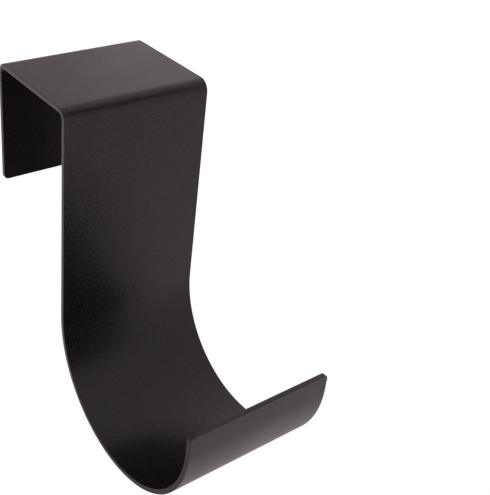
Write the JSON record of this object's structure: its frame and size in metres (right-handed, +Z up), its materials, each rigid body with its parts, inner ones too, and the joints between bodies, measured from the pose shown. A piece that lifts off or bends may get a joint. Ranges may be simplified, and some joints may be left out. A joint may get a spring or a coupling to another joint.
{
  "type": "headphone hook",
  "caption": "Bent steel strip hook that drops over a panel's top edge, with a long front strap and a half-round cradle for headphones, bags or coats.",
  "frame": {"origin": "middle of the bridge's underside, where the hook sits on the panel's top edge", "axes": "+X across the strip, -Y towards the front strap and the cradle, +Z up"},
  "size_m": [0.05, 0.1098, 0.1072],
  "materials": {
    "black_powder_coat": "fine-textured matt black powder coat on steel sheet"
  },
  "bodies": {
    "root": {"hook_strip": "black_powder_coat"}
  },
  "joints": []
}
